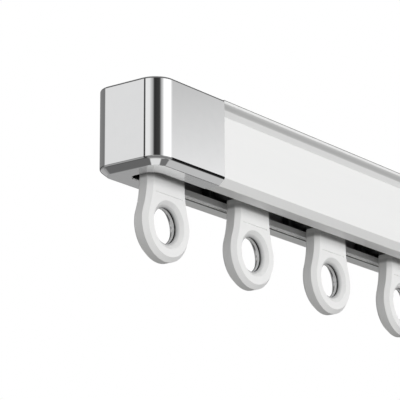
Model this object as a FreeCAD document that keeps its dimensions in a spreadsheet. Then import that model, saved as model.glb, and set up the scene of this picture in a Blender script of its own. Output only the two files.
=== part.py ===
import FreeCAD, Part
import math
import os
import Sketcher

# Curtain track for a ceiling: a slotted aluminium profile, a cap on each end and a row of
# four-wheeled gliders with metal-lined eyelets.
# Millimetres. X runs along the track, +Z is up, and the origin is the middle of the top face.

SIZES = {
    # Profile
    "track_length": 440.0,
    "track_width": 24.3,
    "track_height": 25.2,
    "side_wall": 1.5,
    "top_wall": 1.6,
    "lip_thickness": 1.5,
    "slot_width": 8.8,
    "rim_width": 1.0,
    "rim_height": 0.5,
    "bead_height": 2.35,
    "bead_width": 2.15,
    "bevel_across": 2.1,
    "bevel_up": 2.05,
    "flange_height": 0.9,
    "rebate_depth": 1.0,
    "rebate_slope": 1.5,
    "rebate_bottom": 5.05,
    "rebate_ramp": 0.6,
    "edge_round": 0.25,
    "screw_hole_radius": 2.25,
    "screw_hole_inset": 48.0,
    # End caps
    "cap_length": 30.0,
    "cap_corner_radius": 6.0,
    "cap_top_round": 0.6,
    "cap_bevel_across": 2.05,
    "cap_bevel_up": 1.75,
    "cap_bevel_round": 1.15,
    "cap_base_round": 0.3,
    "cap_end_wall": 3.5,
    "cap_slot_ease": 0.4,
    "cap_slot_end": 7.3,
    "cap_slot_corner": 3.3,
    "cap_slot_rim": 0.25,
    "spigot_length": 12.0,
    "spigot_wall": 1.2,
    "spigot_wheel_gap": 1.5,
    "spigot_lead": 0.4,
    "spigot_clearance": 0.1,
    # Gliders
    "glider_end_gap": 1.1,
    "glider_pitch": 41.0,
    "glider_thickness": 5.2,
    "glider_bevel": 1.3,
    "neck_width": 16.6,
    "neck_flare_radius": 25.0,
    "neck_line_width": 12.0,
    "neck_line_rise": 8.2,
    "neck_line_height": 0.3,
    "neck_line_depth": 0.2,
    "eye_drop": 13.0,
    "eye_radius": 10.5,
    "seat_radius": 5.5,
    "countersink_depth": 1.4,
    "crown_rise": 3.0,
    "crown_corner": 2.2,
    "boss_radius": 2.4,
    "hub_clearance": 0.2,
    # Eyelets
    "eyelet_wall": 0.3,
    "eyelet_lip_width": 0.4,
    "eyelet_flare_width": 0.25,
    "eyelet_flare_length": 0.3,
    "eyelet_clearance": 0.02,
    # Wheels and axles
    "wheel_radius": 4.2,
    "wheel_edge": 0.4,
    "wheel_hub_radius": 2.0,
    "wheel_hub_height": 0.4,
    "wheel_side_clearance": 0.55,
    "wheel_rail_clearance": 0.1,
    "wheelbase": 10.4,
    "axle_radius": 0.9,
    "axle_running_clearance": 0.05,
    "wheel_press_clearance": 0.01,
}

GLIDER_COUNT = 6
CUT_PAST = 0.5
SAME_PLACE = 0.001

# Places that several pieces share, as expressions in the sheet's names.
HALF_TRACK = "(Sizes.track_width / 2)"
INNER_HALF = f"({HALF_TRACK} - Sizes.side_wall)"
UPPER_INNER_HALF = f"({INNER_HALF} - Sizes.rebate_depth)"
TRACK_BOTTOM = "(-Sizes.track_height)"
BEVEL_TOP = f"({TRACK_BOTTOM} + Sizes.bevel_up)"
CAP_BEVEL_TOP = f"({TRACK_BOTTOM} + Sizes.cap_bevel_up)"
RUNWAY = f"({TRACK_BOTTOM} + Sizes.lip_thickness)"
BEAD_TOP = f"({TRACK_BOTTOM} + Sizes.bead_height)"
HALF_SLOT = "(Sizes.slot_width / 2)"
RIM_OUTER = f"({HALF_SLOT} + Sizes.rim_width)"
RIM_Z = f"({TRACK_BOTTOM} + Sizes.rim_height)"
BEAD_OUTER = f"({HALF_SLOT} + Sizes.bead_width)"
TRACK_END = "(Sizes.track_length / 2)"

HALF_CAP_SLOT = f"({HALF_SLOT} + Sizes.cap_slot_ease)"
CAP_SLOT_END = "(Sizes.cap_slot_end - Sizes.cap_length)"
SPIGOT_HALF = f"({UPPER_INNER_HALF} - Sizes.spigot_clearance)"
SPIGOT_INNER_HALF = f"({SPIGOT_HALF} - Sizes.spigot_wall)"
SPIGOT_TOP = "(-Sizes.top_wall - Sizes.spigot_clearance)"
SPIGOT_INNER_TOP = f"({SPIGOT_TOP} - Sizes.spigot_wall)"

WHEEL_INNER = f"({BEAD_OUTER} + Sizes.wheel_side_clearance)"
WHEEL_OUTER = f"({INNER_HALF} - Sizes.wheel_side_clearance)"
HUB_FACE = f"({WHEEL_INNER} - Sizes.wheel_hub_height)"
AXLE_Z = f"({RUNWAY} + Sizes.wheel_rail_clearance + Sizes.wheel_radius)"
SPIGOT_BOTTOM = f"({AXLE_Z} + Sizes.wheel_radius + Sizes.spigot_wheel_gap)"
HALF_WHEELBASE = "(Sizes.wheelbase / 2)"
AXLE_OFFSETS = (f"-{HALF_WHEELBASE}", HALF_WHEELBASE)

HALF_GLIDER = "(Sizes.glider_thickness / 2)"
HALF_NECK = "(Sizes.neck_width / 2)"
BOSS_FACE = f"({HUB_FACE} - Sizes.hub_clearance)"
CROWN_Z = f"({AXLE_Z} + Sizes.crown_rise)"
EYE_Z = f"({TRACK_BOTTOM} - Sizes.eye_drop)"
NECK_LINE_Z = f"({EYE_Z} + Sizes.neck_line_rise)"
SEAT_HALF = f"({HALF_GLIDER} - Sizes.countersink_depth)"

HALF_TURN = FreeCAD.Rotation(FreeCAD.Vector(0, 0, 1), 180)
Z_TO_Y = FreeCAD.Rotation(FreeCAD.Vector(1, 0, 0), -90)

doc = FreeCAD.newDocument("curtain_track")
sheet = doc.addObject("Spreadsheet::Sheet", "Sizes")
sub_parts = []


def fill_sheet():
    """Write each driving dimension into its own cell, with its name as the alias."""
    for row, (name, value) in enumerate(SIZES.items(), start=1):
        sheet.set(f"A{row}", name)
        sheet.set(f"B{row}", str(value))
        sheet.setAlias(f"B{row}", name)
    doc.recompute()


def value_of(expression):
    """The number that an expression in the sheet's names gives."""
    return float(sheet.evalExpression(expression))


def near(value, expression):
    """Whether a coordinate lies at the place that an expression gives."""
    return abs(value - value_of(expression)) < SAME_PLACE


def new_body(name):
    """An empty body, which becomes one piece of the track."""
    body = doc.addObject("PartDesign::Body", name)
    body.Label = name
    sub_parts.append(body)
    return body


def place(piece, x="0", y="0", z="0", rotation=None):
    """Turn a piece, then bind its position to three expressions."""
    if rotation is not None:
        piece.Placement = FreeCAD.Placement(FreeCAD.Vector(), rotation)
    for axis, expression in (("x", x), ("y", y), ("z", z)):
        piece.setExpression(f"Placement.Base.{axis}", expression)


def new_sketch(body, name, role, offset=None):
    """A sketch on one of the body's origin planes, or moved off it along the plane's normal."""
    sketch = body.newObject("Sketcher::SketchObject", f"{body.Name}_{name}")
    plane = next(item for item in body.Origin.OriginFeatures if item.Role == role)
    sketch.AttachmentSupport = [(plane, "")]
    sketch.MapMode = "FlatFace"
    if offset is not None:
        sketch.setExpression("AttachmentOffset.Base.z", offset)
    return sketch


def bind(sketch, constraint, expression):
    """Add a constraint whose size is an expression."""
    index = sketch.addConstraint(constraint)
    sketch.setExpression(f"Constraints[{index}]", expression)


def pin_point(sketch, geometry, point, x, y):
    """Hold a point of the sketch at two expressions, measured from the sketch's origin."""
    bind(sketch, Sketcher.Constraint("DistanceX", -1, 1, geometry, point, value_of(x)), x)
    bind(sketch, Sketcher.Constraint("DistanceY", -1, 1, geometry, point, value_of(y)), y)


def draw_outline(sketch, corners):
    """A closed outline of straight lines through corners given as pairs of expressions."""
    points = [FreeCAD.Vector(value_of(x), value_of(y), 0) for x, y in corners]
    count = len(points)
    for i in range(count):
        sketch.addGeometry(Part.LineSegment(points[i], points[(i + 1) % count]))
    for i in range(count):
        sketch.addConstraint(Sketcher.Constraint("Coincident", i, 2, (i + 1) % count, 1))
        pin_point(sketch, i, 1, *corners[i])


def draw_circle(sketch, x, y, radius):
    """A circle whose centre and radius are expressions."""
    centre = FreeCAD.Vector(value_of(x), value_of(y), 0)
    index = sketch.addGeometry(Part.Circle(centre, FreeCAD.Vector(0, 0, 1), value_of(radius)))
    pin_point(sketch, index, 3, x, y)
    bind(sketch, Sketcher.Constraint("Radius", index, value_of(radius)), radius)


def both_sides(corners):
    """Corners of the right half of an outline, then their mirror images in reverse order."""
    return corners + [(f"-({x})", y) for x, y in reversed(corners)]


def rectangle(half_width, low, high):
    """Corners of a rectangle centred on the sketch's upright axis."""
    return both_sides([(half_width, high), (half_width, low)])


def extrude(body, sketch, kind, length, symmetric, reverse):
    """A pad or pocket of a sketch, over a length given by an expression."""
    feature = body.newObject(f"PartDesign::{kind}", f"{sketch.Name}_{kind.lower()}")
    feature.Profile = sketch
    feature.setExpression("Length", length)
    feature.SideType = "Symmetric" if symmetric else "One side"
    feature.Reversed = reverse
    doc.recompute()
    return feature


def pad(body, sketch, length, symmetric=False, reverse=False):
    """Add the sketch's outline to the body."""
    return extrude(body, sketch, "Pad", length, symmetric, reverse)


def pocket(body, sketch, length, symmetric=False, reverse=False):
    """Cut the sketch's outline out of the body, and stop if that removes nothing."""
    before = body.Shape.Volume
    feature = extrude(body, sketch, "Pocket", length, symmetric, reverse)
    if body.Shape.Volume >= before:
        raise RuntimeError(f"{feature.Name} cuts nothing")
    return feature


def revolve(body, corners):
    """Turn an outline of (distance along Y, radius) corners once round the body's Y axis."""
    sketch = new_sketch(body, "half_section", "YZ_Plane")
    draw_outline(sketch, corners)
    feature = body.newObject("PartDesign::Revolution", f"{body.Name}_revolution")
    feature.Profile = sketch
    feature.ReferenceAxis = (sketch, ["H_Axis"])
    feature.Angle = 360.0
    doc.recompute()
    return feature


def edges_where(feature, test):
    """Names of the edges whose ends and middle, as a list of points, pass a test."""
    names = []
    for number, edge in enumerate(feature.Shape.Edges, start=1):
        middle = edge.valueAt((edge.FirstParameter + edge.LastParameter) / 2)
        if test([vertex.Point for vertex in edge.Vertexes] + [middle]):
            names.append(f"Edge{number}")
    if not names:
        raise RuntimeError(f"{feature.Name} has no edge where one is dressed")
    return names


def fillet(body, feature, test, radius):
    """Round the edges of a feature that pass a test."""
    dressed = body.newObject("PartDesign::Fillet", f"{feature.Name}_fillet")
    dressed.Base = (feature, edges_where(feature, test))
    dressed.setExpression("Radius", radius)
    doc.recompute()
    return dressed


def chamfer(body, feature, test, size, second_size=None):
    """Bevel the edges of a feature that pass a test, by one leg or by two."""
    dressed = body.newObject("PartDesign::Chamfer", f"{feature.Name}_chamfer")
    dressed.Base = (feature, edges_where(feature, test))
    dressed.setExpression("Size", size)
    if second_size is not None:
        dressed.ChamferType = "Two distances"
        dressed.setExpression("Size2", second_size)
    doc.recompute()
    return dressed


def make_track():
    """The extruded profile: top web, rebated sides, and lips stepped and beaded beside the slot."""
    body = new_body("track_profile")
    rebate_wall = f"({HALF_TRACK} - Sizes.rebate_depth)"
    rebate_inside = "(-Sizes.rebate_bottom - Sizes.side_wall)"
    section = new_sketch(body, "section", "YZ_Plane")
    draw_outline(section, both_sides([
        (HALF_TRACK, "0"),
        (HALF_TRACK, "-Sizes.flange_height"),
        (rebate_wall, "-Sizes.flange_height - Sizes.rebate_slope"),
        (rebate_wall, "-Sizes.rebate_bottom + Sizes.rebate_ramp"),
        (HALF_TRACK, "-Sizes.rebate_bottom"),
        (HALF_TRACK, BEVEL_TOP),
        (f"{HALF_TRACK} - Sizes.bevel_across", TRACK_BOTTOM),
        (RIM_OUTER, TRACK_BOTTOM),
        (RIM_OUTER, RIM_Z),
        (HALF_SLOT, RIM_Z),
        (HALF_SLOT, BEAD_TOP),
        (BEAD_OUTER, BEAD_TOP),
        (BEAD_OUTER, RUNWAY),
        (INNER_HALF, RUNWAY),
        (INNER_HALF, rebate_inside),
        (UPPER_INNER_HALF, f"{rebate_inside} + Sizes.rebate_depth"),
        (UPPER_INNER_HALF, "-Sizes.top_wall"),
    ]))
    bar = pad(body, section, "Sizes.track_length", symmetric=True)

    def long_outer_edge(points):
        """Where a main face meets its bevel below or its rebate above."""
        at_side = all(near(abs(p.y), HALF_TRACK) for p in points)
        at_bevel = all(near(p.z, BEVEL_TOP) for p in points)
        at_rebate = all(near(p.z, "-Sizes.rebate_bottom") for p in points)
        return at_side and (at_bevel or at_rebate)

    fillet(body, bar, long_outer_edge, "Sizes.edge_round")
    holes = new_sketch(body, "screw_holes", "XY_Plane")
    for side in ("-", ""):
        x = f"{side}({TRACK_END} - Sizes.screw_hole_inset)"
        draw_circle(holes, x, "0", "Sizes.screw_hole_radius")
    pocket(body, holes, f"Sizes.top_wall + {CUT_PAST}")


def shape_cap_outside(body):
    """The cap's block: round in plan at the end, bevelled below and softened above."""
    plan = new_sketch(body, "plan", "XY_Plane")
    draw_outline(plan, [
        ("-Sizes.cap_length", f"-{HALF_TRACK}"),
        ("0", f"-{HALF_TRACK}"),
        ("0", HALF_TRACK),
        ("-Sizes.cap_length", HALF_TRACK),
    ])
    block = pad(body, plan, "Sizes.track_height", reverse=True)

    def off_joint(points):
        """Edges that reach away from the face that meets the profile."""
        return any(p.x < -CUT_PAST for p in points)

    def end_corner(points):
        at_end = all(near(p.x, "-Sizes.cap_length") for p in points)
        return at_end and all(near(abs(p.y), HALF_TRACK) for p in points)

    def bottom_rim(points):
        return off_joint(points) and all(near(p.z, TRACK_BOTTOM) for p in points)

    def bevel_rim(points):
        return off_joint(points) and all(near(p.z, CAP_BEVEL_TOP) for p in points)

    def top_rim(points):
        return off_joint(points) and all(near(p.z, "0") for p in points)

    rounded = fillet(body, block, end_corner, "Sizes.cap_corner_radius")
    bevelled = chamfer(body, rounded, bottom_rim, "Sizes.cap_bevel_up", "Sizes.cap_bevel_across")
    eased = fillet(body, bevelled, bevel_rim, "Sizes.cap_bevel_round")
    based = fillet(body, eased, bottom_rim, "Sizes.cap_base_round")
    fillet(body, based, top_rim, "Sizes.cap_top_round")


def hollow_cap(body):
    """The cap's hollow, which carries the runway on, and the round-cornered end of the slot."""
    hollow = new_sketch(body, "hollow", "YZ_Plane")
    draw_outline(hollow, both_sides([
        (SPIGOT_INNER_HALF, SPIGOT_INNER_TOP),
        (SPIGOT_INNER_HALF, SPIGOT_BOTTOM),
        (INNER_HALF, SPIGOT_BOTTOM),
        (INNER_HALF, RUNWAY),
        (BEAD_OUTER, RUNWAY),
        (BEAD_OUTER, BEAD_TOP),
    ]))
    pocket(body, hollow, "Sizes.cap_length - Sizes.cap_end_wall")

    slot = new_sketch(body, "slot", "XY_Plane", TRACK_BOTTOM)
    draw_outline(slot, [
        (CAP_SLOT_END, f"-{HALF_CAP_SLOT}"),
        (f"{CUT_PAST}", f"-{HALF_CAP_SLOT}"),
        (f"{CUT_PAST}", HALF_CAP_SLOT),
        (CAP_SLOT_END, HALF_CAP_SLOT),
    ])
    opened = pocket(body, slot, f"Sizes.bead_height + {CUT_PAST}", reverse=True)

    def slot_corner(points):
        at_end = all(near(p.x, CAP_SLOT_END) for p in points)
        return at_end and all(near(abs(p.y), HALF_CAP_SLOT) for p in points)

    def slot_rim(points):
        below = all(near(p.z, TRACK_BOTTOM) for p in points)
        beside = all(abs(p.y) < value_of(HALF_CAP_SLOT) + SAME_PLACE for p in points)
        inside = all(p.x > value_of(CAP_SLOT_END) - SAME_PLACE for p in points)
        return below and beside and inside and any(p.x < -CUT_PAST for p in points)

    rounded = fillet(body, opened, slot_corner, "Sizes.cap_slot_corner")
    chamfer(body, rounded, slot_rim, "Sizes.cap_slot_rim")


def add_spigot(body):
    """The cap's tongue: a channel that plugs into the profile above the wheels."""
    section = new_sketch(body, "spigot", "YZ_Plane")
    draw_outline(section, both_sides([
        (SPIGOT_HALF, SPIGOT_TOP),
        (SPIGOT_HALF, SPIGOT_BOTTOM),
        (SPIGOT_INNER_HALF, SPIGOT_BOTTOM),
        (SPIGOT_INNER_HALF, SPIGOT_INNER_TOP),
    ]))
    tongue = pad(body, section, "Sizes.spigot_length")

    def leading_edge(points):
        at_tip = all(near(p.x, "Sizes.spigot_length") for p in points)
        at_side = all(near(abs(p.y), SPIGOT_HALF) for p in points)
        at_top = all(near(p.z, SPIGOT_TOP) for p in points)
        return at_tip and (at_side or at_top)

    chamfer(body, tongue, leading_edge, "Sizes.spigot_lead")


def make_end_cap(name, x, rotation=None):
    """A cast cap, flush with the profile and pushed into its end."""
    body = new_body(name)
    shape_cap_outside(body)
    hollow_cap(body)
    add_spigot(body)
    place(body, x=x, rotation=rotation)


def draw_glider_outline(sketch):
    """A straight neck that flares through two hollow arcs into a round eye."""
    neck = value_of(HALF_NECK)
    flare = value_of("Sizes.neck_flare_radius")
    eye = value_of("Sizes.eye_radius")
    top = value_of(CROWN_Z)
    eye_z = value_of(EYE_Z)
    flare_x = neck + flare
    flare_rise = math.sqrt((eye + flare) ** 2 - flare_x ** 2)
    flare_z = eye_z + flare_rise
    turn = math.atan2(flare_rise, flare_x)

    def point(x, y):
        return FreeCAD.Vector(x, y, 0)

    def arc(x, y, radius, start, end):
        circle = Part.Circle(point(x, y), FreeCAD.Vector(0, 0, 1), radius)
        return sketch.addGeometry(Part.ArcOfCircle(circle, start, end))

    crown = sketch.addGeometry(Part.LineSegment(point(-neck, top), point(neck, top)))
    right = sketch.addGeometry(Part.LineSegment(point(neck, top), point(neck, flare_z)))
    right_flare = arc(flare_x, flare_z, flare, math.pi, math.pi + turn)
    ring = arc(0, eye_z, eye, math.pi - turn, 2 * math.pi + turn)
    left_flare = arc(-flare_x, flare_z, flare, -turn, 0)
    left = sketch.addGeometry(Part.LineSegment(point(-neck, flare_z), point(-neck, top)))

    sketch.addConstraint(Sketcher.Constraint("Coincident", crown, 2, right, 1))
    sketch.addConstraint(Sketcher.Constraint("Coincident", left, 2, crown, 1))
    sketch.addConstraint(Sketcher.Constraint("Vertical", right))
    sketch.addConstraint(Sketcher.Constraint("Vertical", left))
    sketch.addConstraint(Sketcher.Constraint("Tangent", right, 2, right_flare, 1))
    sketch.addConstraint(Sketcher.Constraint("Tangent", right_flare, 2, ring, 2))
    sketch.addConstraint(Sketcher.Constraint("Tangent", ring, 1, left_flare, 1))
    sketch.addConstraint(Sketcher.Constraint("Tangent", left_flare, 2, left, 1))
    pin_point(sketch, crown, 1, f"-{HALF_NECK}", CROWN_Z)
    pin_point(sketch, crown, 2, HALF_NECK, CROWN_Z)
    pin_point(sketch, ring, 3, "0", EYE_Z)
    bind(sketch, Sketcher.Constraint("Radius", ring, eye), "Sizes.eye_radius")
    for hollow in (right_flare, left_flare):
        bind(sketch, Sketcher.Constraint("Radius", hollow, flare), "Sizes.neck_flare_radius")


def make_glider_body(name, x):
    """A moulded glider: axle bosses inside the profile, neck through the slot, and the eye below."""
    body = new_body(name)
    outline = new_sketch(body, "outline", "XZ_Plane")
    draw_glider_outline(outline)
    plate = pad(body, outline, "Sizes.glider_thickness", symmetric=True)

    def crown_corner(points):
        """The plate's two upper corners, which run across the track."""
        at_end = all(near(abs(p.x), HALF_NECK) for p in points)
        return at_end and all(near(p.z, CROWN_Z) for p in points)

    def face_outline(points):
        """The plate's whole outline, on its front and back."""
        return all(near(abs(p.y), HALF_GLIDER) for p in points)

    crowned = fillet(body, plate, crown_corner, "Sizes.crown_corner")
    chamfer(body, crowned, face_outline, "Sizes.glider_bevel")

    bosses = new_sketch(body, "axle_bosses", "XZ_Plane")
    for axle_x in AXLE_OFFSETS:
        draw_circle(bosses, axle_x, AXLE_Z, "Sizes.boss_radius")
    pad(body, bosses, f"2 * {BOSS_FACE}", symmetric=True)

    axle_holes = new_sketch(body, "axle_holes", "XZ_Plane")
    for axle_x in AXLE_OFFSETS:
        radius = "Sizes.axle_radius + Sizes.axle_running_clearance"
        draw_circle(axle_holes, axle_x, AXLE_Z, radius)
    pocket(body, axle_holes, f"2 * {BOSS_FACE} + {CUT_PAST}", symmetric=True)

    seat = new_sketch(body, "eyelet_seat", "XZ_Plane")
    draw_circle(seat, "0", EYE_Z, "Sizes.seat_radius")
    bored = pocket(body, seat, f"Sizes.glider_thickness + {CUT_PAST}", symmetric=True)

    def seat_rim(points):
        on_face = all(near(abs(p.y), HALF_GLIDER) for p in points)
        return on_face and all(
            near(math.hypot(p.x, p.z - value_of(EYE_Z)), "Sizes.seat_radius") for p in points
        )

    chamfer(body, bored, seat_rim, "Sizes.countersink_depth")

    line_floor = f"({HALF_GLIDER} - Sizes.neck_line_depth)"
    for side, offset, outward in (("front", line_floor, True), ("back", f"-{line_floor}", False)):
        line = new_sketch(body, f"{side}_neck_line", "XZ_Plane", offset)
        high = f"{NECK_LINE_Z} + Sizes.neck_line_height"
        draw_outline(line, rectangle("Sizes.neck_line_width / 2", NECK_LINE_Z, high))
        pocket(body, line, f"Sizes.neck_line_depth + {CUT_PAST}", reverse=outward)
    place(body, x=x)


def make_eyelet(name, x):
    """A thin metal ring, flared at both mouths, whose lips lie in the eye's two countersinks."""
    body = new_body(name)
    barrel = "(Sizes.seat_radius - Sizes.eyelet_clearance)"
    bore = "(Sizes.seat_radius - Sizes.eyelet_wall)"
    lip = f"({bore} + Sizes.eyelet_lip_width)"
    lip_face = f"({SEAT_HALF} + {lip} - {barrel})"
    revolve(body, both_sides([
        (SEAT_HALF, barrel),
        (lip_face, lip),
        (lip_face, f"{bore} + Sizes.eyelet_flare_width"),
        (f"{lip_face} - Sizes.eyelet_flare_length", bore),
    ]))
    place(body, x=x, z=EYE_Z)


def make_axle(name, x):
    """A plain steel pin through a boss, as long as its two wheels reach."""
    axle = doc.addObject("Part::Cylinder", name)
    axle.Label = name
    axle.setExpression("Radius", "Sizes.axle_radius")
    axle.setExpression("Height", f"2 * {WHEEL_OUTER}")
    place(axle, x=x, y=f"-{WHEEL_OUTER}", z=AXLE_Z, rotation=Z_TO_Y)
    sub_parts.append(axle)


def make_wheel(name, x, rotation=None):
    """A plastic wheel with bevelled tread edges and a hub towards the glider's boss."""
    body = new_body(name)
    bore = "(Sizes.axle_radius + Sizes.wheel_press_clearance)"
    shoulder = "Sizes.wheel_radius - Sizes.wheel_edge"
    revolve(body, [
        (HUB_FACE, bore),
        (HUB_FACE, "Sizes.wheel_hub_radius"),
        (WHEEL_INNER, "Sizes.wheel_hub_radius"),
        (WHEEL_INNER, shoulder),
        (f"{WHEEL_INNER} + Sizes.wheel_edge", "Sizes.wheel_radius"),
        (f"{WHEEL_OUTER} - Sizes.wheel_edge", "Sizes.wheel_radius"),
        (WHEEL_OUTER, shoulder),
        (WHEEL_OUTER, bore),
    ])
    place(body, x=x, z=AXLE_Z, rotation=rotation)


def make_glider(number):
    """One glider: moulded body, eyelet, and a wheelset at each end of its crown."""
    name = f"glider_{number}"
    slot_end = f"({CAP_SLOT_END} - {TRACK_END})"
    first = f"({slot_end} + Sizes.glider_end_gap + {HALF_NECK})"
    centre = f"({first} + {number - 1} * Sizes.glider_pitch)"
    make_glider_body(f"{name}_body", centre)
    make_eyelet(f"{name}_eyelet", centre)
    for end, sign in (("left", "-"), ("right", "+")):
        axle_x = f"{centre} {sign} {HALF_WHEELBASE}"
        make_axle(f"{name}_{end}_axle", axle_x)
        make_wheel(f"{name}_{end}_back_wheel", axle_x)
        make_wheel(f"{name}_{end}_front_wheel", axle_x, HALF_TURN)


def check_document():
    """Stop before anything is written if a feature failed or a piece is not one sound solid."""
    for item in doc.Objects:
        if "Invalid" in item.State or "Error" in item.State:
            raise RuntimeError(f"{item.Name} failed: {item.State}")
    for piece in sub_parts:
        shape = piece.Shape
        if shape.isNull() or not shape.isValid() or len(shape.Solids) != 1:
            raise RuntimeError(f"{piece.Label} is not one valid solid")


def write_parts():
    """One STEP file for each piece, named by its label."""
    os.makedirs("parts", exist_ok=True)
    for piece in sub_parts:
        piece.Shape.exportStep(os.path.join("parts", f"{piece.Label}.step"))
    print(len(sub_parts), "pieces written")


fill_sheet()
make_track()
make_end_cap("end_cap_left", f"-{TRACK_END}")
make_end_cap("end_cap_right", TRACK_END, HALF_TURN)
for glider_number in range(1, GLIDER_COUNT + 1):
    make_glider(glider_number)
doc.recompute()
check_document()
write_parts()
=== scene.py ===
# %% [markdown]
# # A ceiling curtain track
# The object is a slim white track that is screwed to a ceiling, with a mirror-bright cap on each
# end and a row of small white gliders hanging out of the slot in its underside.
# The shapes come from the CAD model, which is loaded here as a fixed frame.
# This lesson adds what CAD leaves out: the camera, the studio and the finish of every surface.

# %% Load the CAD frame
import math

import bpy
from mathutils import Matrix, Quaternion, Vector


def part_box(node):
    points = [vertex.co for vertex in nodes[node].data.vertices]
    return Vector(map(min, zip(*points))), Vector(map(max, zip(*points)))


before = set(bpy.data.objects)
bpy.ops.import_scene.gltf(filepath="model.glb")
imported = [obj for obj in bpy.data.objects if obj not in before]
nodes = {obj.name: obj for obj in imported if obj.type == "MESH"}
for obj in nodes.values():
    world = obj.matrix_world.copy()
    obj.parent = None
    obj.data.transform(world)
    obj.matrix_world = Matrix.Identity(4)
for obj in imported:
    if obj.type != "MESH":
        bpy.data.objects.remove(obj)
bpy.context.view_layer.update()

# %% [markdown]
# ## The camera
# The track is seen from below its left end, as by someone who looks up at it.
# A camera can be dragged into place by eye, but straight edges of known size give its place
# exactly, so the position, the two angles and the lens here were solved from those edges.
# The long lens keeps the far end of the track from shrinking too fast.

# %% Place the camera
CAMERA_PLACE = (-0.69470, -0.36454, -0.19722)
CAMERA_AZIMUTH = math.radians(-52.728)
CAMERA_ELEVATION = math.radians(-15.821)
CAMERA_ROLL = math.radians(-0.2)
LENS_MM = 196.04
SENSOR_MM = 36.0
CLIP_END = 50.0
ROLL_AXIS = (0, 0, 1)

camera_data = bpy.data.cameras.new("camera")
camera_data.lens = LENS_MM
camera_data.sensor_width = SENSOR_MM
camera_data.clip_end = CLIP_END
camera = bpy.data.objects.new("camera", camera_data)
bpy.context.scene.collection.objects.link(camera)
backward = Vector((
    math.sin(CAMERA_AZIMUTH) * math.cos(CAMERA_ELEVATION),
    -math.cos(CAMERA_AZIMUTH) * math.cos(CAMERA_ELEVATION),
    math.sin(CAMERA_ELEVATION),
))
camera.location = CAMERA_PLACE
camera.rotation_mode = "QUATERNION"
upright = (-backward).to_track_quat("-Z", "Y")
camera.rotation_quaternion = upright @ Quaternion(ROLL_AXIS, CAMERA_ROLL)
bpy.context.scene.camera = camera
bpy.context.scene.view_settings.view_transform = "Standard"
print("camera", CAMERA_PLACE, "lens", LENS_MM, "mm")

# %% [markdown]
# ## Helpers for node trees
# Every finish below is a handful of shader nodes. Making a node, setting its sockets and wiring
# it up takes three lines each time, so one helper does it: plain values are set on the socket,
# and a socket of another node is linked to it. Three more make the nodes that are needed most:
# sums and products, grey ramps, and the X, Y and Z of a place. A ramp keeps its end value before
# its first stop and after its last one.


# %% Node helpers
def add_node(tree, kind, inputs=None, **settings):
    """A node of a kind, with its settings made and its inputs set or linked."""
    node = tree.nodes.new(kind)
    for name, value in settings.items():
        setattr(node, name, value)
    for name, value in (inputs or {}).items():
        if isinstance(value, bpy.types.NodeSocket):
            tree.links.new(value, node.inputs[name])
        else:
            node.inputs[name].default_value = value
    return node


def calculate(tree, operation, *values):
    """The result of a Math node on numbers or sockets."""
    return add_node(tree, "ShaderNodeMath", dict(enumerate(values)), operation=operation).outputs[0]


def ramp(tree, factor, stops):
    """A colour ramp through (position, grey) stops."""
    node = add_node(tree, "ShaderNodeValToRGB", {"Fac": factor})
    elements = node.color_ramp.elements
    while len(elements) > 1:
        elements.remove(elements[-1])
    for index, (position, grey) in enumerate(stops):
        stop = elements[0] if index == 0 else elements.new(position)
        stop.position = position
        stop.color = (grey, grey, grey, 1.0)
    return node.outputs["Color"]


def axes_of(tree, vector):
    """The X, Y and Z of a vector socket."""
    return add_node(tree, "ShaderNodeSeparateXYZ", {0: vector}).outputs


print("node helpers ready")

# %% [markdown]
# ## The studio round the track
# Polished metal has almost no colour of its own: it shows the room. The mirror caps need a room
# with broad white panels and narrow black ones, which draw the bright and dark bars along the
# rounded corners. The panels could be planes with emission, but the sky can carry them as well.
# Each panel has two ramps: its brightness by compass direction, and its brightness by height
# above the horizon. Their product is the panel, and the sum of all panels is the room.
# The fills stand in the gaps between the dark bars, so that the caps stay silver from other sides.
# Only reflections see the room. The camera sees a white backdrop, and soft surfaces an even grey.

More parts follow.
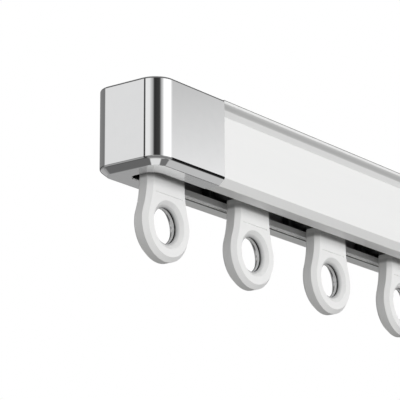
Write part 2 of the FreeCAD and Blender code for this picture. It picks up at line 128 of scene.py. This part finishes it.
# %% List the panels: by compass and by height, in degrees and brightness
STUDIO_PANELS = {
    "wall": (
        [(0, 0.03), (36, 0.05), (44, 0.27), (60, 0.24), (118, 0.18), (123, 0.74), (152, 0.74),
         (153.6, 0.05), (161.8, 0.05), (163.2, 0.83), (186, 0.82), (190.5, 0.70), (197, 0.55),
         (205, 0.36), (210, 0.06), (214, 0.03), (238, 0.045), (243, 0.10), (247.6, 0.38),
         (254.5, 0.58), (259, 0.75), (265, 1.12), (306, 1.12), (318, 0.0), (360, 0.03)],
        [(-14, 0.0), (-10, 0.35), (4, 0.35), (9, 1.0), (20, 1.0), (25, 0.0)],
    ),
    "right hand panel": (
        [(306, 0.0), (318, 1.0), (334, 1.0), (340, 0.0)],
        [(12.5, 0.0), (13.5, 0.98), (15.5, 0.90), (16.7, 0.79), (18.8, 0.56), (25, 0.05), (90, 0.0)],
    ),
    "far end panel": (
        [(25, 0.45), (30, 0.0), (335, 0.0), (341, 0.45)],
        [(-13, 0.0), (-10, 1.0), (8, 1.0), (11, 0.0)],
    ),
    "left hand fill": (
        [(198, 0.0), (207, 0.32), (241, 0.32), (249, 0.0)],
        [(-8, 0.0), (-4, 1.0), (10, 1.0), (13.5, 0.0)],
    ),
    "right hand fill": (
        [(323.5, 0.0), (326, 0.40), (336, 0.40), (341, 0.0)],
        [(-19, 0.0), (-16, 1.0), (9, 1.0), (12, 0.0)],
    ),
    "right hand low fill": (
        [(316.5, 0.0), (318, 0.36), (319.5, 0.36), (321, 0.0)],
        [(-34, 0.0), (-30, 1.0), (-16, 1.0), (-13, 0.0)],
    ),
    "low strip": (
        [(32, 0.0), (34, 0.42), (110, 0.36), (136, 0.58), (148, 0.58), (156, 0.05),
         (168, 0.05), (180, 0.36), (316.5, 0.36), (318, 0.03), (360, 0.0)],
        [(-32, 0.0), (-28, 1.0), (-5, 1.0), (-2, 0.0)],
    ),
    "front of the table": (
        [(33, 0.06), (36, 0.0), (333, 0.0), (338, 0.50), (348, 0.52), (352, 0.06)],
        [(-74, 0.0), (-71, 1.0), (-24, 1.0), (-20, 0.0)],
    ),
    "table": (
        [(36, 0.0), (40, 0.30), (90, 0.30), (96, 0.13), (160, 0.13),
         (170, 0.42), (286, 0.42), (298, 0.16), (332, 0.16), (337, 0.0)],
        [(-74, 0.0), (-71, 1.0), (-32, 1.0), (-28, 0.0)],
    ),
    "edge of the table": (
        [(286, 0.0), (298, 0.28), (328, 0.28), (335, 0.0)],
        [(-48, 0.0), (-45, 1.0), (-32, 1.0), (-28, 0.0)],
    ),
    "ceiling": (
        [(0, 1.0)],
        [(20, 0.0), (25, 0.10), (50, 0.12), (75, 0.30)],
    ),
    "table under the track": (
        [(0, 0.75)],
        [(-74, 1.0), (-71, 0.0)],
    ),
}
print(len(STUDIO_PANELS), "panels:", ", ".join(STUDIO_PANELS))

# %% Add the panels up to one room
FULL_CIRCLE = 360
HALF_CIRCLE = 180
STRAIGHT_DOWN = -90
HORIZON = 0.5

world = bpy.data.worlds.new("studio")
bpy.context.scene.world = world
world.use_nodes = True
sky = world.node_tree
sky.nodes.clear()
direction = axes_of(sky, add_node(sky, "ShaderNodeTexCoord").outputs["Generated"])
compass = calculate(sky, "ARCTAN2", direction["Y"], direction["X"])
turn = calculate(sky, "FRACT", calculate(sky, "DIVIDE", compass, 2 * math.pi))
height = calculate(sky, "ARCSINE", direction["Z"])
level = calculate(sky, "ADD", calculate(sky, "DIVIDE", height, math.pi), HORIZON)
room = 0.0
for by_compass, by_height in STUDIO_PANELS.values():
    across_stops = [(degrees / FULL_CIRCLE, grey) for degrees, grey in by_compass]
    rising_stops = [((degrees - STRAIGHT_DOWN) / HALF_CIRCLE, grey) for degrees, grey in by_height]
    across = ramp(sky, turn, across_stops)
    rising = ramp(sky, level, rising_stops)
    room = calculate(sky, "ADD", calculate(sky, "MULTIPLY", across, rising), room)
print("the room has", len(sky.nodes), "nodes")

# %% Show each kind of ray its own world
BACKDROP_WHITE = 1.0
SOFT_GREY = 0.43
PLAIN_WHITE = (1.0, 1.0, 1.0, 1.0)

light_path = add_node(sky, "ShaderNodeLightPath").outputs
seen = calculate(sky, "MULTIPLY", light_path["Is Camera Ray"], BACKDROP_WHITE)
mirrored = calculate(sky, "MULTIPLY", light_path["Is Glossy Ray"], room)
direct = calculate(sky, "ADD", light_path["Is Camera Ray"], light_path["Is Glossy Ray"])
soft = calculate(sky, "MULTIPLY", calculate(sky, "SUBTRACT", 1.0, direct), SOFT_GREY)
strength = calculate(sky, "ADD", calculate(sky, "ADD", seen, mirrored), soft)
background = add_node(sky, "ShaderNodeBackground", {"Color": PLAIN_WHITE, "Strength": strength})
add_node(sky, "ShaderNodeOutputWorld", {"Surface": background.outputs[0]})
print("the world has", len(sky.nodes), "nodes")

# %% [markdown]
# ## Lamps and floor
# One big soft panel in front of the track does most of the lighting. It hangs nearly level with
# the track, so the near lip hardly shades the gliders' necks. A weaker one behind keeps the far
# side from going grey, and a small one on the left lights the gliders' edges. All are hidden
# from reflections, which already show the studio's panels.
# The floor is a pale sheet far below, as under a real ceiling. The lamps hardly reach it, so it
# gets a little glow of its own, which only the camera sees.

# %% Lamps
LAMPS = {
    "key_panel": {"place": (-0.1, -2.45, 0.35), "width": 1.8, "depth": 1.2, "watts": 43},
    "back_panel": {"place": (1.4, 1.8, 1.2), "width": 1.6, "depth": 1.2, "watts": 26},
    "side_panel": {"place": (-2.5, -0.3, -0.2), "width": 1.2, "depth": 1.2, "watts": 6},
}


def add_lamp(name, place, width, depth, watts):
    """A soft rectangular lamp that faces the track."""
    data = bpy.data.lights.new(name, "AREA")
    data.shape = "RECTANGLE"
    data.size = width
    data.size_y = depth
    data.energy = watts
    lamp = bpy.data.objects.new(name, data)
    lamp.location = place
    lamp.rotation_mode = "QUATERNION"
    lamp.rotation_quaternion = (-Vector(place)).to_track_quat("-Z", "Y")
    lamp.visible_glossy = False
    bpy.context.scene.collection.objects.link(lamp)


for name, measures in LAMPS.items():
    add_lamp(name, **measures)
    print(name, measures["watts"], "W")

# %% Floor
FLOOR_Z = -3.2
FLOOR_HALF = 30.0
FLOOR_SHINE = 0.6
FLOOR_COLOUR = (0.65, 0.65, 0.64, 1.0)
FLOOR_ROUGHNESS = 0.8

floor_mesh = bpy.data.meshes.new("floor")
floor_mesh.from_pydata(
    [(x, y, FLOOR_Z) for x, y in (
        (-FLOOR_HALF, -FLOOR_HALF), (FLOOR_HALF, -FLOOR_HALF),
        (FLOOR_HALF, FLOOR_HALF), (-FLOOR_HALF, FLOOR_HALF),
    )],
    [], [(0, 1, 2, 3)],
)
floor = bpy.data.objects.new("floor", floor_mesh)
bpy.context.scene.collection.objects.link(floor)
floor.visible_glossy = False
floor_paint = bpy.data.materials.new("floor_paint")
floor_paint.use_nodes = True
floor_tree = floor_paint.node_tree
floor_shader = floor_tree.nodes["Principled BSDF"]
floor_shader.inputs["Base Color"].default_value = FLOOR_COLOUR
floor_shader.inputs["Roughness"].default_value = FLOOR_ROUGHNESS
floor_shader.inputs["Emission Color"].default_value = PLAIN_WHITE
to_camera = add_node(floor_tree, "ShaderNodeLightPath").outputs["Is Camera Ray"]
shine = calculate(floor_tree, "MULTIPLY", to_camera, FLOOR_SHINE)
floor_tree.links.new(shine, floor_shader.inputs["Emission Strength"])
floor_mesh.materials.append(floor_paint)
print("floor at", FLOOR_Z, "m")

# %% [markdown]
# ## A start for every finish
# Each finish begins with one Principled shader. The CAD nodes sit at the origin with their
# place in the mesh, so the Object coordinate is the real position in metres, and a noise of
# scale 1000 has grains of about a millimetre.


# %% Start and end of a finish
def new_finish(name, **constants):
    """A material with a Principled shader whose constant sockets are set, and its coordinates."""
    material = bpy.data.materials.new(name)
    material.use_nodes = True
    tree = material.node_tree
    shader = tree.nodes["Principled BSDF"]
    for socket, value in constants.items():
        shader.inputs[socket].default_value = value
    place = add_node(tree, "ShaderNodeTexCoord").outputs["Object"]
    return material, tree, shader, place


def connect(tree, shader, sockets):
    """Link what was worked out to the shader's sockets, by their names."""
    for name, output in sockets.items():
        tree.links.new(output, shader.inputs[name])


def emboss(tree, shader, height, strength, distance):
    """Give the shader a bump of a real depth in metres."""
    inputs = {"Height": height, "Strength": strength, "Distance": distance}
    bump = add_node(tree, "ShaderNodeBump", inputs)
    connect(tree, shader, {"Normal": bump.outputs["Normal"]})


def cover(names, material):
    """Give pieces a finish in place of the CAD's plain one."""
    for name in names:
        materials = nodes[name].data.materials
        materials.clear()
        materials.append(material)


print("finishes can be started")

# %% Patterns and colours of a finish
BLACK = (0.0, 0.0, 0.0, 1.0)


def noise(tree, place, scale, detail=2.0, stretch=(1.0, 1.0, 1.0)):
    """A noise in real metres, stretched where a finish has a grain."""
    mapping = add_node(tree, "ShaderNodeMapping", {"Vector": place, "Scale": stretch})
    inputs = {"Vector": mapping.outputs[0], "Scale": scale, "Detail": detail}
    return add_node(tree, "ShaderNodeTexNoise", inputs).outputs["Fac"]


def between(tree, factor, low, high):
    """A number that runs from low to high with a factor from 0 to 1."""
    inputs = {"Value": factor, "To Min": low, "To Max": high}
    return add_node(tree, "ShaderNodeMapRange", inputs).outputs["Result"]


def mixed(tree, factor, first, second):
    """A colour that runs from the first to the second with a factor from 0 to 1."""
    inputs = {"Factor": factor, "A": first, "B": second}
    return add_node(tree, "ShaderNodeMix", inputs, data_type="RGBA").outputs["Result"]


def shaded(tree, colour, shade):
    """A colour darkened by a shade from 1, unchanged, to 0, black."""
    return mixed(tree, shade, BLACK, colour)


def shade_by(tree, distance, stops):
    """A shade that follows a distance in metres, with (distance, shade) stops in rising order."""
    first, last = stops[0][0], stops[-1][0]
    inputs = {"Value": distance, "From Min": first, "From Max": last}
    reach = add_node(tree, "ShaderNodeMapRange", inputs).outputs["Result"]
    return ramp(tree, reach, [((stop - first) / (last - first), shade) for stop, shade in stops])


print("finishes can be patterned")

# %% [markdown]
# ## The inside of the track
# The coating is sprayed on from outside, so the inside of the profile and of the caps stays
# bare and dull. Its colour is also darker than bare metal, a painted shade for the hollow, so that
# from below the slot looks black. The same object has both finishes, so the
# position decides: a point is inside where it lies between the side walls and above the lips.
# The walls' places are measured from the boxes of the CAD pieces.

# %% Tell inside from outside
SIDE_WALL = 0.00125
END_WALL = 0.0033
LIP_THICKNESS = 0.0014
BEAD_SIDE = 0.0064
WEB_Z = -0.0015
MM_PER_M = 1000

track_low, track_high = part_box("track_profile")
side_limit = track_high.y - SIDE_WALL
end_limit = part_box("end_cap_right")[1].x - END_WALL
runway_z = track_low.z + LIP_THICKNESS


def inside_profile(tree, place, slot_z):
    """1 on surfaces that face the hollow of the track, or its slot above a height, and 0 outside."""
    axes = axes_of(tree, place)
    across = calculate(tree, "ABSOLUTE", axes["Y"])
    between_sides = calculate(tree, "LESS_THAN", across, side_limit)
    along = calculate(tree, "ABSOLUTE", axes["X"])
    between_ends = calculate(tree, "LESS_THAN", along, end_limit)
    between_walls = calculate(tree, "MULTIPLY", between_sides, between_ends)
    under_web = calculate(tree, "LESS_THAN", axes["Z"], WEB_Z)
    on_runway = calculate(
        tree, "MULTIPLY",
        calculate(tree, "GREATER_THAN", axes["Z"], runway_z),
        calculate(tree, "GREATER_THAN", across, BEAD_SIDE),
    )
    in_slot = calculate(
        tree, "MULTIPLY",
        calculate(tree, "GREATER_THAN", axes["Z"], slot_z),
        calculate(tree, "LESS_THAN", across, BEAD_SIDE),
    )
    above_lips = calculate(tree, "MAXIMUM", on_runway, in_slot)
    hollow = calculate(tree, "MULTIPLY", between_walls, under_web)
    return calculate(tree, "MULTIPLY", hollow, above_lips)


print("the hollow starts", round(-runway_z * MM_PER_M, 1), "mm below the ceiling")

# %% [markdown]
# ## White coating
# The profile is aluminium with a baked white coating. Close up such a coating is never quite
# flat: it has a fine orange-peel ripple about a millimetre wide, and slow lengthwise waves from
# the extrusion under it. Both are noises, one even and one stretched along the track.
# The rebate under the top flange lies in shade, so the coat there is painted grey as a painted
# shade. The top flange is painted a little greyer, and a thin dark line runs along the sharp top
# edge. The height on the profile decides these shades.
# The photo also shows a thin dark line under the far lip, next to the slot. It could be cut as a
# groove, but it is too fine to catch light as one, so it is drawn in the coat.
# That dark line is a painted shadow, drawn where the groove would be in shade.

# %% White coating of the profile
PEEL_SCALE = 1100
PEEL_DETAIL = 1.0
PEEL_STRENGTH = 0.25
PEEL_DEPTH = 0.00004
WAVE_SCALE = 260
LENGTHWISE = (0.05, 1.0, 1.0)
THIN_COAT = (0.855, 0.857, 0.855, 1.0)
FULL_COAT = (0.885, 0.885, 0.880, 1.0)
# Partly bare metal and partly painted shade for the hollow of the profile.
BARE_AND_SHADED_INSIDE = (0.40, 0.40, 0.404, 1.0)
COAT_ROUGHNESS = (0.36, 0.48)
BEAD_HEIGHT = 0.0023
HAIR = 0.00005
PLASTIC_IOR = 1.5
# Painted shade by height: grey in the shaded rebate under the top flange, and a thin dark line at
# the top edge.
COAT_PAINTED_SHADES = [
    (-0.0060, 1.0), (-0.00515, 1.0), (-0.0050, 0.74), (-0.0044, 0.77), (-0.0027, 0.77),
    (-0.0024, 0.63), (-0.0020, 0.55), (-0.0016, 0.55), (-0.0012, 0.64), (-0.00095, 0.78),
    (-0.00088, 0.94), (-0.00027, 0.94), (-0.00020, 0.25), (-0.00003, 0.25), (0.0, 1.0),
]
# Painted shadow: a dark band under the far lip, next to the slot.
LIP_PAINTED_SHADOW = [(0.0047, 1.0), (0.0048, 0.02), (0.0060, 0.02), (0.0061, 1.0)]

under_z = track_low.z + HAIR
coating, tree, shader, place = new_finish("white_coating", IOR=PLASTIC_IOR)
peel = noise(tree, place, PEEL_SCALE, PEEL_DETAIL)
waves = noise(tree, place, WAVE_SCALE, stretch=LENGTHWISE)
axes = axes_of(tree, place)
above = calculate(tree, "GREATER_THAN", axes["Z"], under_z)
line = calculate(tree, "MAXIMUM", shade_by(tree, axes["Y"], LIP_PAINTED_SHADOW), above)
coat = mixed(tree, waves, THIN_COAT, FULL_COAT)
coat = shaded(tree, coat, shade_by(tree, axes["Z"], COAT_PAINTED_SHADES))
coat = shaded(tree, coat, line)
hollow = inside_profile(tree, place, track_low.z + BEAD_HEIGHT)
connect(tree, shader, {
    "Base Color": mixed(tree, hollow, coat, BARE_AND_SHADED_INSIDE),
    "Roughness": between(tree, peel, *COAT_ROUGHNESS),
})
emboss(tree, shader, peel, PEEL_STRENGTH, PEEL_DEPTH)
cover(["track_profile"], coating)
print("coated the profile")

# %% [markdown]
# ## Mirror plating
# The end caps are cast and then plated and buffed to a mirror. A perfect mirror looks like
# computer graphics, so a very fine buffing haze changes the roughness by a few hundredths.
# The underside isn't buffed as long as the faces, so it is satin and blurs the gliders in it. Its
# colour is also darkened as a painted shade, and the small round above the chamfer is darkened
# as a painted dark reflection. The height tells both from the faces.

# %% Mirror plating of the caps
HAZE_SCALE = 350
HAZE_DETAIL = 3.0
HAZY_PLATING = (0.93, 0.935, 0.94, 1.0)
CLEAR_PLATING = (0.97, 0.972, 0.975, 1.0)
# Partly unplated metal and partly painted shade for the hollow of the caps.
DULL_AND_SHADED_INSIDE = (0.05, 0.05, 0.052, 1.0)
PLATING_ROUGHNESS = (0.02, 0.05)
SATIN_EXTRA = 0.14
# Painted shade: the underside's plating is darkened by this share.
UNDERSIDE_PAINTED_SHADE = 0.21
CAP_SLOT_RIM = 0.0003
# Painted dark reflection on the small round above the chamfer.
ROUND_PAINTED_REFLECTION = [(-0.0237, 1.0), (-0.02355, 0.5), (-0.0231, 0.5), (-0.0230, 1.0)]

plating, tree, shader, place = new_finish("mirror_plating", Metallic=1.0)
haze = noise(tree, place, HAZE_SCALE, HAZE_DETAIL)
up = axes_of(tree, place)["Z"]
underside = calculate(tree, "LESS_THAN", up, under_z)
underside_shade = calculate(tree, "SUBTRACT", 1.0, calculate(tree, "MULTIPLY", underside, UNDERSIDE_PAINTED_SHADE))
buffed = shaded(tree, mixed(tree, haze, HAZY_PLATING, CLEAR_PLATING), underside_shade)
buffed = shaded(tree, buffed, shade_by(tree, up, ROUND_PAINTED_REFLECTION))
hollow = inside_profile(tree, place, track_low.z + CAP_SLOT_RIM)
satin = calculate(tree, "MULTIPLY", underside, SATIN_EXTRA)
connect(tree, shader, {
    "Base Color": mixed(tree, hollow, buffed, DULL_AND_SHADED_INSIDE),
    "Roughness": calculate(tree, "ADD", between(tree, haze, *PLATING_ROUGHNESS), satin),
})
cover(["end_cap_left", "end_cap_right"], plating)
print("plated the two caps")

# %% [markdown]
# ## Glider plastic
# The gliders are moulded in white plastic with a satin sheen. The mould leaves a fine even
# texture. Above one height, where the carriage runs inside the track, the plastic is painted near
# black as a painted shade for the dark inside of the track, so the colour changes at that height.
# A thin grey ring at the foot of the countersink, round the eyelet, is a painted shadow where the
# eyelet meets its seat. The gliders hang at one pitch, so the remainder of the position gives each
# eye its own middle.
# A dark band round each neck, just where it leaves the track, is a painted shadow of the slot's
# lips.

# %% Find the middle of each eye
MIDDLE = 0.5

eyelet_low, eyelet_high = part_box("glider_1_eyelet")
first_eye = (eyelet_low + eyelet_high) / 2
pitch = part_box("glider_2_eyelet")[0].x - eyelet_low.x


def eye_radius(tree, axes):
    """The distance of a point from the middle of its own glider's eye."""
    from_first = calculate(tree, "SUBTRACT", axes["X"], first_eye.x - pitch / 2)
    share = calculate(tree, "FRACT", calculate(tree, "DIVIDE", from_first, pitch))
    aside = calculate(tree, "MULTIPLY", calculate(tree, "SUBTRACT", share, MIDDLE), pitch)
    below = calculate(tree, "SUBTRACT", axes["Z"], first_eye.z)
    off_eye = add_node(tree, "ShaderNodeCombineXYZ", {"X": aside, "Z": below}).outputs["Vector"]
    return add_node(tree, "ShaderNodeVectorMath", {0: off_eye}, operation="LENGTH").outputs["Value"]


print("an eye every", round(pitch * MM_PER_M, 1), "mm, at", round(first_eye.z * MM_PER_M, 1), "mm")

# %% Satin plastic of the gliders
GRAIN_SCALE = 2400
GRAIN_STRENGTH = 0.2
GRAIN_DEPTH = 0.00002
FLOW_SCALE = 120
GREYER_PLASTIC = (0.830, 0.830, 0.826, 1.0)
WHITER_PLASTIC = (0.860, 0.860, 0.856, 1.0)
# Painted shade: the carriage inside the track is coloured near black.
CARRIAGE_PAINTED_SHADE = (0.06, 0.06, 0.062, 1.0)
PLASTIC_ROUGHNESS = (0.30, 0.42)
CARRIAGE_Z = -0.0232
# Painted shadow: a grey ring where the eyelet meets the countersink.
SEAT_PAINTED_SHADOW = [(0.0055, 0.62), (0.0058, 0.80), (0.0060, 0.95), (0.0066, 1.0)]
# Painted shadow of the lips on each neck, by height.
NECK_PAINTED_SHADOW = [
    (-0.0262, 1.0), (-0.0259, 0.86), (-0.0256, 0.60), (-0.0253, 0.46), (-0.0248, 0.55),
    (-0.0243, 0.70),
]

plastic, tree, shader, place = new_finish("glider_plastic", IOR=PLASTIC_IOR)
grain = noise(tree, place, GRAIN_SCALE)
flow = noise(tree, place, FLOW_SCALE)
axes = axes_of(tree, place)
white = mixed(tree, flow, GREYER_PLASTIC, WHITER_PLASTIC)
white = shaded(tree, white, shade_by(tree, eye_radius(tree, axes), SEAT_PAINTED_SHADOW))
white = shaded(tree, white, shade_by(tree, axes["Z"], NECK_PAINTED_SHADOW))
carriage = calculate(tree, "GREATER_THAN", axes["Z"], CARRIAGE_Z)
connect(tree, shader, {
    "Base Color": mixed(tree, carriage, white, CARRIAGE_PAINTED_SHADE),
    "Roughness": between(tree, grain, *PLASTIC_ROUGHNESS),
})
emboss(tree, shader, grain, GRAIN_STRENGTH, GRAIN_DEPTH)
gliders = [name for name in nodes if name.endswith("_body")]
cover(gliders, plastic)
print("moulded", len(gliders), "gliders")

# %% [markdown]
# ## Eyelet metal
# The eyelets are pressed from thin sheet and plated. They are bright like the caps, but the
# rolling of the lip leaves them a little less sharp. The front mouth goes from grey to a thin black
# line, then comes a white band, and the rear of the bore is metal with a painted shade. The grey,
# the black line and the white band are painted shade and a painted highlight on matte, not metal,
# surfaces, so the depth in the bore, from the eyelet's front edge, decides how dark and how
# metallic it is.

# %% Rolled eyelets
ROLLED_SCALE = 900
DULLER_EYELET = (0.93, 0.935, 0.94, 1.0)
BRIGHTER_EYELET = (0.98, 0.982, 0.985, 1.0)
EYELET_ROUGHNESS = (0.14, 0.22)
# Painted shade and highlight by depth in the bore: grey mouth, black line, white band, shaded rear.
BORE_PAINTED_SHADES = [
    (0.0, 0.55), (0.0004, 0.45), (0.0007, 0.12), (0.00078, 0.04), (0.00105, 0.04),
    (0.00118, 1.0), (0.0019, 1.0), (0.002, 0.75), (0.0026, 0.65),
]
# Where these are 1 the bore is matte, so the painted shade and highlight show as drawn.
NONMETAL_BANDS = [
    (0.0, 1.0), (0.0007, 1.0), (0.00078, 0.0), (0.00105, 0.0), (0.00118, 1.0), (0.0019, 1.0),
    (0.002, 0.0), (0.0026, 0.0),
]

eyelet_metal, tree, shader, place = new_finish("eyelet_plating")
rolled = noise(tree, place, ROLLED_SCALE)
depth = calculate(tree, "SUBTRACT", axes_of(tree, place)["Y"], eyelet_low.y)
metal = mixed(tree, rolled, DULLER_EYELET, BRIGHTER_EYELET)
nonmetal_band = shade_by(tree, depth, NONMETAL_BANDS)
connect(tree, shader, {
    "Base Color": shaded(tree, metal, shade_by(tree, depth, BORE_PAINTED_SHADES)),
    "Metallic": calculate(tree, "SUBTRACT", 1.0, nonmetal_band),
    "Roughness": between(tree, rolled, *EYELET_ROUGHNESS),
})
eyelets = [name for name in nodes if name.endswith("_eyelet")]
cover(eyelets, eyelet_metal)
print("plated", len(eyelets), "eyelets")

# %% [markdown]
# ## Wheels and axles
# The wheels are dark moulded plastic on drawn steel pins. They run inside the profile, so they
# show only from the ends and through the slot, but they get their own finish all the same.

# %% Dark wheels
MOULD_SCALE = 1800
DARKER_WHEEL = (0.045, 0.045, 0.047, 1.0)
LIGHTER_WHEEL = (0.075, 0.075, 0.078, 1.0)
WHEEL_ROUGHNESS = (0.45, 0.60)

wheel_plastic, tree, shader, place = new_finish("wheel_plastic", IOR=PLASTIC_IOR)
mould = noise(tree, place, MOULD_SCALE)
connect(tree, shader, {
    "Base Color": mixed(tree, mould, DARKER_WHEEL, LIGHTER_WHEEL),
    "Roughness": between(tree, mould, *WHEEL_ROUGHNESS),
})
wheels = [name for name in nodes if name.endswith("_wheel")]
cover(wheels, wheel_plastic)
print("moulded", len(wheels), "wheels")

# %% Drawn axles
DRAWN_SCALE = 1500
CROSSWISE = (1.0, 0.05, 1.0)
DARKER_STEEL = (0.50, 0.50, 0.51, 1.0)
LIGHTER_STEEL = (0.66, 0.66, 0.67, 1.0)
STEEL_ROUGHNESS = (0.22, 0.38)

axle_steel, tree, shader, place = new_finish("axle_steel", Metallic=1.0)
drawn = noise(tree, place, DRAWN_SCALE, stretch=CROSSWISE)
connect(tree, shader, {
    "Base Color": mixed(tree, drawn, DARKER_STEEL, LIGHTER_STEEL),
    "Roughness": between(tree, drawn, *STEEL_ROUGHNESS),
})
axles = [name for name in nodes if name.endswith("_axle")]
cover(axles, axle_steel)
print("drew", len(axles), "axles")
